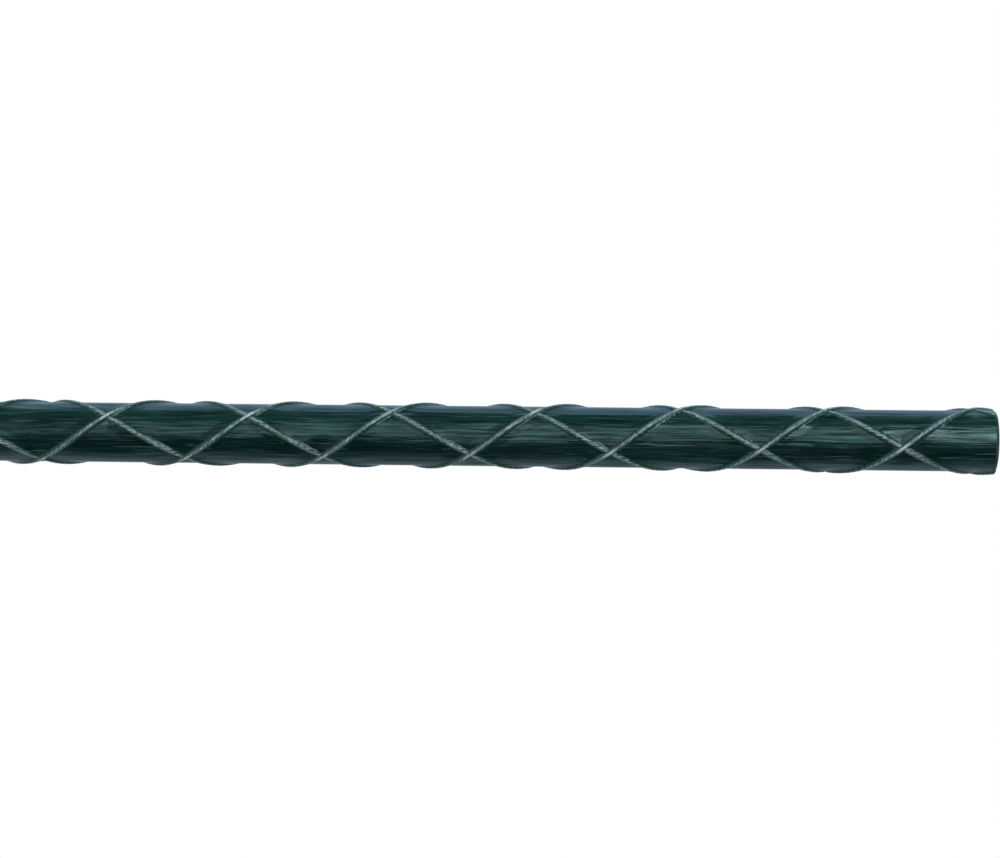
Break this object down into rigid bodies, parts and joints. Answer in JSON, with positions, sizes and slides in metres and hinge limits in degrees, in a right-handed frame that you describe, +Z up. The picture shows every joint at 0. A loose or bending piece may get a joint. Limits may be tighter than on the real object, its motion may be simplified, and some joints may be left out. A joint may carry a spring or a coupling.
{
  "type": "plant stake",
  "caption": "Straight round fibreglass plant stake with a ground point and a sawn top, bound by yarns wound in both directions; pushed into soil, it holds a plant upright.",
  "frame": {"origin": "middle of the blunt face of the ground point, on the rod's axis", "axes": "+Z up along the rod, from the point to the sawn end; +X and +Y across the rod"},
  "size_m": [0.0124, 0.0124, 0.5],
  "materials": {
    "fibreglass": "glossy dark green resin with long glass fibres showing under it",
    "yarn": "pale twisted yarn wetted with resin"
  },
  "bodies": {
    "root": {"rod": "fibreglass", "inner_yarn_1": "yarn", "inner_yarn_2": "yarn", "outer_yarn_1": "yarn", "outer_yarn_2": "yarn"}
  },
  "joints": []
}
